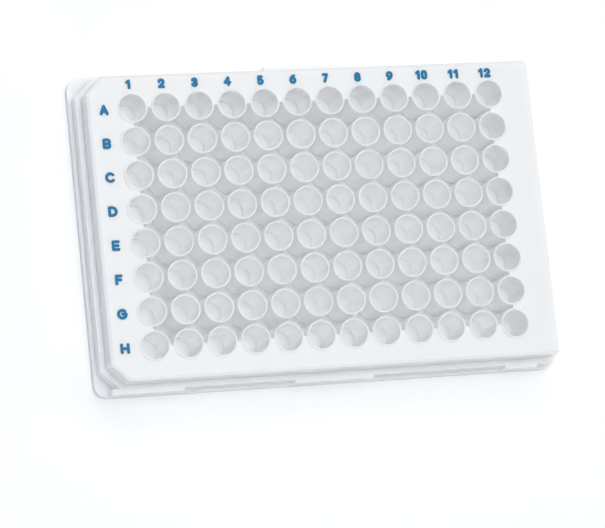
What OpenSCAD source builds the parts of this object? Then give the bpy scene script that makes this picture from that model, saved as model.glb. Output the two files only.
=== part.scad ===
// Ninety-six-well plate, one white moulding: a stepped skirt, a deck with a bevelled edge, and
// eight rows of twelve round wells, each in a tube of its own that rises from a common floor
// plate in a recess of the deck.
// X runs along the rows, Y from row H to row A, and Z up from the middle of the foot.

/* [Wells] */
// Wells along X
cols = 12; // [2:1:14]
// Wells along Y
rows = 8; // [2:1:10]
// Distance between neighbouring wells
pitch = 9; // [8.8:0.1:11]
// Inner diameter of a well at its rim
well_d = 7.05; // [5.8:0.05:7.4]
// How much narrower a well is at its floor
well_taper = 0.65; // [0.2:0.05:1]
// Height of the wells' floors above what the plate stands on
floor_z = 3.35; // [2.75:0.05:4.1]
// Leg of the bevel between a well's wall and its floor
floor_bevel = 0.3; // [0.1:0.05:0.6]
// Thickness of the floor plate under the wells
floor_t = 1.2; // [0.8:0.05:1.5]

/* [Tubes] */
// Thickness of a tube's wall at its rim
tube_wall = 0.53; // [0.4:0.01:0.65]
// How much a tube's outer diameter grows from its rim to the floor plate
tube_draft = 0.2; // [0:0.02:0.4]
// Leg of the bevels on both edges of a rim
rim_bevel = 0.1; // [0.05:0.01:0.15]
// Height of the rims above the deck
rim_h = 0.4; // [0.2:0.05:0.6]
// Thickness of the wall round the recess
recess_wall = 1.2; // [0.8:0.05:1.6]

/* [Deck] */
// Overall height, at the rims
plate_h = 14.35; // [11.8:0.05:17.5]
// Thickness of the deck
deck_t = 1.5; // [1:0.05:2]
// Width of the bevel round the deck
edge_w = 0.8; // [0.4:0.05:1.2]
// Drop of the bevel round the deck
edge_h = 0.35; // [0.1:0.05:0.6]
// Leg of the deck's cut corners, beside column 1
deck_cut = 4.45; // [3:0.05:6]

/* [Skirt] */
// From the foot's end to the middle of the first column
end_margin = 14.38; // [12:0.01:17.5]
// From the foot's side to the middle of the first row
side_margin = 11.24; // [10:0.01:13.6]
// Radius of the foot's corners
foot_r = 3.65; // [3:0.05:4.8]
// Height of the foot
foot_h = 2.4; // [2:0.05:3]
// Width of the step above the foot
foot_step = 0.95; // [0.7:0.05:1.2]
// Height of the shelf that a lid rests on
shelf_z = 7.2; // [5.9:0.1:8.8]
// Width of the lid shelf
shelf_w = 1.5; // [1.2:0.05:1.8]
// Thickness of the skirt's walls
wall = 1.3; // [1:0.05:1.6]

/* [Grip blocks] */
// Length of the block in the middle of each long side
mid_block_l = 21.6; // [16:0.1:30]
// Length of the front block that starts at the foot's corner beside column 1
corner_block_l = 19.2; // [10:0.1:28]
// Length of the front block near the foot's other corner
end_block_l = 9; // [5:0.1:15]
// From that end of the foot to the block
end_block_gap = 6.9; // [5.2:0.1:9]

/* [Hidden] */
$fn = 96;

grid_l = (cols - 1) * pitch;
grid_w = (rows - 1) * pitch;
foot_l = grid_l + 2 * end_margin;
foot_w = grid_w + 2 * side_margin;
deck_z = plate_h - rim_h;
under_z = floor_z - floor_t;
floor_d = well_d - well_taper;
tube_d = well_d + 2 * tube_wall;
// How far cuts reach past what they cut.
over = 1;

// The lower wall and the deck are the foot's outline, drawn in by these amounts.
lower_in = foot_step;
deck_in = foot_step + shelf_w;

// All three outlines' corners have the same centres.
function corner_r(inset) = max(foot_r - inset, 0.3);

// Legs of an outline's cut corners: a cut and the sides it joins keep their distances.
function cut_leg(inset) = deck_cut + (2 - sqrt(2)) * (deck_in - inset);

// The foot's outline drawn in by a given amount, with or without its cut corners.
module outline(inset, cut) {
    l = foot_l - 2 * inset;
    w = foot_w - 2 * inset;
    r = corner_r(inset);
    difference() {
        union() {
            square([l - 2 * r, w], center = true);
            square([l, w - 2 * r], center = true);
            for (x = [-1, 1], y = [-1, 1])
                translate([x * (l / 2 - r), y * (w / 2 - r)]) circle(r);
        }
        if (cut)
            for (y = [-1, 1])
                translate([-l / 2, y * w / 2])
                    rotate(45) square(cut_leg(inset) * sqrt(2), center = true);
    }
}

module tier(z0, z1, inset, cut = true) {
    translate([0, 0, z0]) linear_extrude(z1 - z0) outline(inset, cut);
}

// What the bevel removes along a side of the deck that lies this far from the middle.
module side_bevel(angle, reach) {
    rotate(angle) translate([reach, 0, deck_z]) rotate([90, 0, 0])
        linear_extrude(foot_l + foot_w, center = true)
            polygon([[0, -edge_h], [-edge_w, 0], [-edge_w, over], [over, over], [over, -edge_h]]);
}

module deck_bevels() {
    half_l = foot_l / 2 - deck_in;
    half_w = foot_w / 2 - deck_in;
    for (angle = [0, 180]) side_bevel(angle, half_l);
    for (angle = [90, 270]) side_bevel(angle, half_w);
    for (angle = [135, 225]) side_bevel(angle, (half_l + half_w - cut_leg(deck_in)) / sqrt(2));
}

// A block of the given length that stands flush with the foot's front from x on, so that a gripper
// finds one plane there.
module grip_block(x, l) {
    translate([x, -foot_w / 2, 0]) cube([l, foot_step + wall / 2, shelf_z]);
}

module grip_blocks() {
    for (angle = [0, 180])
        rotate(angle) grip_block(-mid_block_l / 2, mid_block_l);
    grip_block(foot_r - foot_l / 2, corner_block_l);
    grip_block(foot_l / 2 - end_block_gap - end_block_l, end_block_l);
}

module skirt() {
    tier(0, foot_h, 0, cut = false);
    tier(0, shelf_z, lower_in);
    difference() {
        tier(0, deck_z, deck_in);
        deck_bevels();
    }
    grip_blocks();
}

// The hollow follows the skirt's steps, one wall further in and one wall lower.
module hollow() {
    tier(-over, foot_h - wall, wall, cut = false);
    tier(-over, shelf_z - wall, lower_in + wall);
    tier(-over, deck_z - deck_t, deck_in + wall);
}

// A block centred on the grid of wells, standing a given amount out from the outer wells' middles.
module grid_block(out, z0, z1) {
    l = grid_l + 2 * out;
    w = grid_w + 2 * out;
    translate([-l / 2, -w / 2, z0]) cube([l, w, z1 - z0]);
}

module at_wells() {
    for (i = [0 : cols - 1], j = [0 : rows - 1])
        translate([i * pitch - grid_l / 2, grid_w / 2 - j * pitch, 0]) children();
}

module tube() {
    rotate_extrude()
        polygon([
            [0, under_z],
            [(tube_d + tube_draft) / 2, under_z],
            [(tube_d + tube_draft) / 2, floor_z],
            [tube_d / 2, plate_h - rim_bevel],
            [tube_d / 2 - rim_bevel, plate_h],
            [0, plate_h]
        ]);
}

module well() {
    rotate_extrude()
        polygon([
            [0, floor_z],
            [floor_d / 2 - floor_bevel, floor_z],
            [floor_d / 2, floor_z + floor_bevel],
            [well_d / 2, plate_h - rim_bevel],
            [well_d / 2 + rim_bevel, plate_h],
            [well_d / 2 + rim_bevel, plate_h + over],
            [0, plate_h + over]
        ]);
}

// The shell with the recess in its deck, whose bottom is the floor plate.
module body() {
    difference() {
        union() {
            difference() {
                skirt();
                hollow();
            }
            grid_block(recess_wall, under_z, deck_z - deck_t / 2);
        }
        grid_block(0, floor_z, deck_z + over);
    }
}

module plate() {
    color("white")
        difference() {
            union() {
                body();
                at_wells() tube();
            }
            at_wells() well();
        }
}

plate();
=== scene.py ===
"""The looks of a ninety-six-well plate: satin white moulding, printed well addresses, a pale table
and soft light."""
import math

import bmesh
import bpy
from mathutils import Matrix, Vector
from mathutils.geometry import delaunay_2d_cdt


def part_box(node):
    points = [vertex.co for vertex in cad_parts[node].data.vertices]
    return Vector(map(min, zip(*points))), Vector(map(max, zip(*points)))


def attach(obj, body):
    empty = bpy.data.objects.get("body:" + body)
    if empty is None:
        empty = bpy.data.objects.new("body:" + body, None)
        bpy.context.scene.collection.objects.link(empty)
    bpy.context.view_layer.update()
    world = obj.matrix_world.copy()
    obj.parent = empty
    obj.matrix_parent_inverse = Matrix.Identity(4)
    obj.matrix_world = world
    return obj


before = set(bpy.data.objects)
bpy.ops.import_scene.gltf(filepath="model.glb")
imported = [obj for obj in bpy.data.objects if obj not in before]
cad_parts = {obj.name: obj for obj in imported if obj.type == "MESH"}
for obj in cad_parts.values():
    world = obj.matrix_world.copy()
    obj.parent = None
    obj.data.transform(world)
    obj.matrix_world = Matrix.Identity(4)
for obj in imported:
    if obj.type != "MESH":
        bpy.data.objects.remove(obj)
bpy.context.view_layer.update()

MM = 0.001
scene = bpy.context.scene


# ---------------------------------------------------------------- camera

# The camera looks down on the plate from its front left, over the corner beside well H1.
CAMERA_RIGHT = Vector((0.95687, -0.10257, 0.27181))
CAMERA_UP = Vector((0.05346, 0.98179, 0.18227))
CAMERA_BACK = Vector((-0.28555, -0.15988, 0.94493))
CAMERA_AT = Vector((-0.24310, -0.14430, 0.79320))
FRAME_WIDTH = 605
LENS = 186.8
SENSOR_WIDTH = 36


def make_camera():
    data = bpy.data.cameras.new("camera")
    data.sensor_fit = "HORIZONTAL"
    data.sensor_width = SENSOR_WIDTH
    data.lens = LENS
    data.shift_x = -0.5 / FRAME_WIDTH
    data.shift_y = 0.5 / FRAME_WIDTH
    data.clip_start, data.clip_end = 0.01, 100
    camera = bpy.data.objects.new("camera", data)
    turn = Matrix((CAMERA_RIGHT, CAMERA_UP, CAMERA_BACK)).transposed()
    camera.matrix_world = Matrix.Translation(CAMERA_AT) @ turn.to_4x4()
    scene.collection.objects.link(camera)
    scene.camera = camera


make_camera()


# ---------------------------------------------------------------- shader maths

class Wire:
    """A node's output that takes part in arithmetic."""

    def __init__(self, shader, socket):
        self.shader, self.socket = shader, socket

    def _math(self, operation, a, b):
        if self.socket.type != "VALUE":
            node = self.shader.node("VectorMath", {"operation": operation}, {0: a, 1: b})
            return node["Vector"]
        return self.shader.node("Math", {"operation": operation}, {0: a, 1: b})["Value"]

    def __add__(self, other):
        return self._math("ADD", self, other)

    __radd__ = __add__

    def __sub__(self, other):
        return self._math("SUBTRACT", self, other)

    def __rsub__(self, other):
        return self._math("SUBTRACT", other, self)

    def __mul__(self, other):
        return self._math("MULTIPLY", self, other)

    __rmul__ = __mul__


class Shader:
    """A material's node tree, with a Principled BSDF as its surface."""

    def __init__(self, name):
        self.material = bpy.data.materials.new(name)
        self.material.use_nodes = True
        self.tree = self.material.node_tree
        self.surface = self.tree.nodes["Principled BSDF"]
        self.place = self.node("TexCoord")["Object"]

    def node(self, kind, settings=None, values=None):
        """Adds a node, sets it, feeds its sockets, and returns its outputs by name."""
        made = self.tree.nodes.new("ShaderNode" + kind)
        for key, value in (settings or {}).items():
            setattr(made, key, value)
        for key, value in (values or {}).items():
            self.feed(made.inputs[key], value)
        return {output.name: Wire(self, output) for output in made.outputs if output.enabled}

    def feed(self, socket, value):
        if isinstance(value, Wire):
            self.tree.links.new(value.socket, socket)
        else:
            socket.default_value = value

    def set(self, **values):
        for key, value in values.items():
            self.feed(self.surface.inputs[key.replace("_", " ")], value)

    def noise(self, size, detail=2.0):
        """Noise from 0 to 1 whose blotches are about this many metres across."""
        values = {"Vector": self.place, "Scale": 1 / size, "Detail": detail}
        return self.node("TexNoise", None, values)["Fac"]

    def between(self, factor, low, high):
        """factor, from 0 to 1, carried to low to high."""
        return factor * (high - low) + low

    def mix(self, factor, first, second):
        values = {"Factor": factor, 6: first, 7: second}
        return self.node("Mix", {"data_type": "RGBA"}, values)["Result"]

    def bump(self, height, distance):
        return self.node("Bump", None, {"Height": height, "Distance": distance})["Normal"]


# ---------------------------------------------------------------- materials

# How deep light goes into the plastic.
PLASTIC_DEPTH = 1.5 * MM
# What the table gives back to the plate.
TABLE_WHITE = 0.97
# How much of what the table shows is lit, and so can fall into shadow, and how much is its own glow.
TABLE_SHADE = 0.75
TABLE_GLOW = 0.285


def moulded_white():
    s = Shader("moulded_white")
    drift = s.noise(30 * MM, 1.0)
    grain = s.noise(0.35 * MM, 2.0)
    s.set(
        Base_Color=s.mix(drift, (0.984, 0.989, 0.993, 1), (0.987, 0.991, 0.995, 1)),
        Roughness=s.between(s.noise(4 * MM, 3.0), 0.3, 0.42),
        IOR=1.5,
        Normal=s.bump(grain, 0.004 * MM),
        Subsurface_Weight=1.0,
        Subsurface_Radius=(1, 1, 1),
        Subsurface_Scale=PLASTIC_DEPTH,
    )
    return s.material


def printed_blue():
    s = Shader("printed_blue")
    thin = s.noise(0.5 * MM, 2.0)
    s.set(
        Base_Color=s.mix(thin, (0.004, 0.17, 0.36, 1), (0.012, 0.21, 0.42, 1)),
        Roughness=s.between(thin, 0.45, 0.6),
        Specular_IOR_Level=0.3,
    )
    return s.material


def table_white():
    """Matt white card. Seen straight from the camera it glows a little, so that it is white wherever no
    shadow lies."""
    s = Shader("table_white")
    seen = s.node("LightPath")["Is Camera Ray"]
    s.set(
        Base_Color=s.mix(seen, (*[TABLE_WHITE] * 3, 1), (*[TABLE_SHADE] * 3, 1)),
        Roughness=0.6,
        Specular_IOR_Level=0.0,
        Emission_Color=s.mix(seen, (0, 0, 0, 1), (1, 1, 1, 1)),
        Emission_Strength=TABLE_GLOW,
    )
    return s.material


# ---------------------------------------------------------------- printed well addresses

PEN = 0.8 * MM
PEN_SIDES = 16
# Degrees of an arc that one straight step stands for.
ARC_STEP = 15
INK = 0.02 * MM
LETTER_H = 2.84 * MM
NUMBER_H = 2.66 * MM
GLYPH_GAP = 0.28 * MM
# Points nearer to each other than this are joined.
SAME_POINT = 0.004 * MM


def bold_strokes(h):
    """Each character's width and the middle lines of its strokes, for characters whose middle lines are
    h high. A stroke is its start, then each point it goes straight to, or (centre, degrees) for an arc.
    An arc's radius is always more than half the pen's width."""
    q = h / 4
    r = h / 2
    bowl, ring, loop, tail = 0.3 * h, 0.27 * h, 0.32 * h, 0.68 * h
    return {
        "A": (0.8 * h, [[(0, 0), (0.4 * h, h), (0.8 * h, 0)],
                        [(0.15 * h, 0.3 * h), (0.65 * h, 0.3 * h)]]),
        "B": (0.72 * h, [[(0, 0), (0, h), (0.72 * h - q, h), ((0.72 * h - q, 3 * q), -180), (0, 2 * q)],
                         [(0, 0), (0.72 * h - q, 0), ((0.72 * h - q, q), 180)]]),
        "C": (0.86 * h, [[(r + 0.72 * r, r + 0.694 * r), ((r, r), 272)]]),
        "D": (0.86 * h, [[(0, 0), (0, h), (0.36 * h, h), ((0.36 * h, r), -180), (0, 0)]]),
        "E": (0.7 * h, [[(0.7 * h, h), (0, h), (0, 0), (0.7 * h, 0)], [(0, r), (0.62 * h, r)]]),
        "F": (0.62 * h, [[(0.62 * h, h), (0, h), (0, 0)], [(0, r), (0.54 * h, r)]]),
        "G": (0.92 * h, [[(r + 0.72 * r, r + 0.694 * r), ((r, r), 316)], [(1.1 * r, r), (2 * r, r)]]),
        "H": (0.84 * h, [[(0, 0), (0, h)], [(0.84 * h, 0), (0.84 * h, h)], [(0, r), (0.84 * h, r)]]),
        "0": (2 * ring, [[(0, ring), (0, h - ring), ((ring, h - ring), -180), (2 * ring, ring),
                          ((ring, ring), -180)]]),
        "1": (0.3 * h, [[(0, 0.78 * h), (0.3 * h, h), (0.3 * h, 0)]]),
        "2": (2 * bowl, [[(0.015 * bowl, h - 0.826 * bowl), ((bowl, h - bowl), -210), (0, 0),
                          (2.05 * bowl, 0)]]),
        "3": (2 * bowl, [[(bowl - 0.94 * ring, h - 0.658 * ring), ((bowl, h - ring), -250)],
                         [(bowl, 2 * bowl), ((bowl, bowl), -250)]]),
        "4": (0.7 * h, [[(0.48 * h, 0), (0.48 * h, h), (0, 0.32 * h), (0.7 * h, 0.32 * h)]]),
        "5": (2 * bowl, [[(1.8 * bowl, h), (0.3 * bowl, h), (0.234 * bowl, 1.643 * bowl),
                          ((bowl, bowl), -285)]]),
        "6": (2 * loop, [[(0, loop), ((tail, loop), -75)], [(0, loop), ((loop, loop), 360)]]),
        "7": (0.52 * h, [[(0, h), (0.52 * h, h), (0.16 * h, 0)]]),
        "8": (2 * bowl, [[(0, bowl), ((bowl, bowl), 360)],
                         [(bowl - ring, h - ring), ((bowl, h - ring), 360)]]),
        "9": (2 * loop, [[(2 * loop, h - loop), ((2 * loop - tail, h - loop), -75)],
                         [(2 * loop, h - loop), ((loop, h - loop), 360)]]),
    }


def stamp(bm, at):
    bmesh.ops.create_circle(bm, cap_ends=True, segments=PEN_SIDES, radius=PEN / 2,
                            matrix=Matrix.Translation(at))


def sweep(bm, at, side, move):
    """Sweeps a pen's width, across at, straight by a vector or round (centre, angle), and returns where
    it ends."""
    ends = [bm.verts.new(at + s * side * PEN / 2) for s in (-1, 1)]
    edge = bm.edges.new(ends)
    if isinstance(move, Vector):
        made = bmesh.ops.extrude_edge_only(bm, edges=[edge])["geom"]
        bmesh.ops.translate(bm, vec=move, verts=[g for g in made if isinstance(g, bmesh.types.BMVert)])
        return at + move
    centre, angle = move
    bmesh.ops.spin(bm, geom=[*ends, edge], cent=centre, axis=(0, 0, 1), angle=angle,
                   steps=max(3, round(abs(math.degrees(angle)) / ARC_STEP)), use_duplicate=False)
    return centre + Matrix.Rotation(angle, 3, "Z") @ (at - centre)


def draw_stroke(bm, origin, stroke):
    at = origin + Vector((*stroke[0], 0))
    stamp(bm, at)
    for step in stroke[1:]:
        if isinstance(step[0], tuple):
            centre = origin + Vector((*step[0], 0))
            side = (at - centre).normalized()
            at = sweep(bm, at, side, (centre, math.radians(step[1])))
        else:
            move = origin + Vector((*step, 0)) - at
            side = move.normalized().cross(Vector((0, 0, 1)))
            at = sweep(bm, at, side, move)
        stamp(bm, at)


def draw_word(bm, word, height, centre):
    """Draws a word round its centre, in strokes that overlap."""
    h = height - PEN
    font = bold_strokes(h)
    width = sum(font[c][0] for c in word) + (len(word) - 1) * (GLYPH_GAP + PEN)
    pen_x = centre[0] - width / 2
    for character in word:
        w, strokes = font[character]
        for stroke in strokes:
            draw_stroke(bm, Vector((pen_x, centre[1] - h / 2, 0)), stroke)
        pen_x += w + GLYPH_GAP + PEN


def joined_flat(bm):
    """Joins flat faces that overlap into few faces that cover the same shapes, with their holes open."""
    bm.normal_update()
    bmesh.ops.reverse_faces(bm, faces=[face for face in bm.faces if face.normal.z < 0])
    bm.verts.index_update()
    outlines = [[v.index for v in face.verts] for face in bm.faces]
    flat = [v.co.xy / MM for v in bm.verts]
    points, _, faces, _, _, sources = delaunay_2d_cdt(flat, [], outlines, 0, 1e-4)
    bm.free()
    joined = bmesh.new()
    verts = [joined.verts.new((*(point * MM), 0)) for point in points]
    for face, source in zip(faces, sources):
        if source:
            joined.faces.new([verts[n] for n in face])
    bmesh.ops.remove_doubles(joined, verts=joined.verts, dist=SAME_POINT)
    bmesh.ops.dissolve_limit(joined, angle_limit=math.radians(1), verts=joined.verts, edges=joined.edges)
    # A point inside a shape that only two faces share would leave slivers once the faces are cut into
    # triangles.
    shared_by_two = [v for v in joined.verts if len(v.link_edges) == 2 and not v.is_boundary]
    bmesh.ops.dissolve_verts(joined, verts=shared_by_two)
    return joined


def print_words(name, words, height, place):
    """One flat piece of ink for all the words, [(word, centre)]."""
    bm = bmesh.new()
    for word, centre in words:
        draw_word(bm, word, height, centre)
    bm = joined_flat(bm)
    bmesh.ops.recalc_face_normals(bm, faces=bm.faces)
    made = bmesh.ops.extrude_face_region(bm, geom=bm.faces[:])["geom"]
    raised = [g for g in made if isinstance(g, bmesh.types.BMVert)]
    bmesh.ops.translate(bm, vec=(0, 0, INK), verts=raised)
    bmesh.ops.recalc_face_normals(bm, faces=bm.faces)
    bm.transform(place)
    mesh = bpy.data.meshes.new(name)
    bm.to_mesh(mesh)
    bm.free()
    piece = bpy.data.objects.new(name, mesh)
    scene.collection.objects.link(piece)
    return piece


# ---------------------------------------------------------------- the plate

PITCH = 9 * MM
MIDDLE_COLUMN = 6.5
MIDDLE_ROW = 3.5
RIM_H = 0.4 * MM
NUMBERS_Y = 38.15 * MM
LETTERS_X = -56.5 * MM
# How far the print lies off its intended place, as such plates are printed after moulding.
PRINT_SHIFT = (-0.815 * MM, -0.615 * MM)
PRINT_TURN = math.radians(-0.325)

deck_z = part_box("plate")[1].z - RIM_H
columns = [((n - MIDDLE_COLUMN) * PITCH, str(n)) for n in range(1, 13)]
rows = [((MIDDLE_ROW - n) * PITCH, letter) for n, letter in enumerate("ABCDEFGH")]
# A quarter of the ink's thickness is sunk into the deck.
on_deck = Matrix.Translation((*PRINT_SHIFT, deck_z - INK / 4)) @ Matrix.Rotation(PRINT_TURN, 4, "Z")

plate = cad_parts["plate"]
plate.data.materials.clear()
plate.data.materials.append(moulded_white())

ink = printed_blue()
for piece in (
    print_words("column_numbers", [(word, (x, NUMBERS_Y)) for x, word in columns], NUMBER_H, on_deck),
    print_words("row_letters", [(word, (LETTERS_X, y)) for y, word in rows], LETTER_H, on_deck),
):
    piece.data.materials.append(ink)
    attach(piece, "root")


# ---------------------------------------------------------------- table and light

LAMP_DISTANCE = 3.0
WORLD_BRIGHTNESS = 0.02
NEUTRAL = (1.0, 1.0, 1.0)
COOL = (0.975, 1.0, 1.015)
COLD = (0.82, 1.0, 1.2)
# A lamp's name, tilt, turn, spread, brightness and colour.
LAMPS = [
    ("top_light", 0, 0, 40, 3.06, NEUTRAL),
    ("high_back_light", 22, 90, 16, 1.45, NEUTRAL),
    ("back_right_light", 38, 45, 32, 2.0, NEUTRAL),
    ("back_light", 44, 90, 28, 3.4, NEUTRAL),
    ("left_light", 38, 180, 32, 1.4, COLD),
    ("front_light", 38, 270, 32, 1.2, COOL),
    ("low_right_light", 68, 0, 32, 2.1, NEUTRAL),
    ("low_left_light", 68, 180, 32, 0.85, COLD),
    ("low_front_light", 68, 270, 32, 1.5, COOL),
    ("level_right_light", 84, 0, 20, 0.4, NEUTRAL),
    ("level_front_light", 84, 270, 20, 1.6, COOL),
]
TABLE_HALF = 4


def make_table():
    bm = bmesh.new()
    bmesh.ops.create_grid(bm, x_segments=1, y_segments=1, size=TABLE_HALF)
    mesh = bpy.data.meshes.new("table")
    bm.to_mesh(mesh)
    bm.free()
    table = bpy.data.objects.new("table", mesh)
    scene.collection.objects.link(table)
    table.data.materials.append(table_white())


def make_lamp(name, tilt, turn, spread, brightness, colour):
    """A round lamp that shines at the origin from a tilt off straight up and a turn from +X, seen from
    there as wide as spread, all in degrees."""
    turned = Matrix.Rotation(math.radians(turn), 3, "Z") @ Matrix.Rotation(math.radians(tilt), 3, "Y")
    away = turned @ Vector((0, 0, 1))
    data = bpy.data.lights.new(name, "AREA")
    data.shape = "DISK"
    data.size = 2 * LAMP_DISTANCE * math.tan(math.radians(spread / 2))
    data.energy = brightness * math.pi ** 2 * (data.size / 2) ** 2
    data.color = colour
    lamp = bpy.data.objects.new(name, data)
    facing = away.to_track_quat("Z", "Y").to_matrix().to_4x4()
    lamp.matrix_world = Matrix.Translation(away * LAMP_DISTANCE) @ facing
    scene.collection.objects.link(lamp)


def make_world():
    world = bpy.data.worlds.new("studio")
    world.use_nodes = True
    background = world.node_tree.nodes["Background"]
    background.inputs["Color"].default_value = (1, 1, 1, 1)
    background.inputs["Strength"].default_value = WORLD_BRIGHTNESS
    scene.world = world


make_table()
for lamp in LAMPS:
    make_lamp(*lamp)
make_world()
scene.view_settings.view_transform = "Standard"
scene.cycles.diffuse_bounces = 16
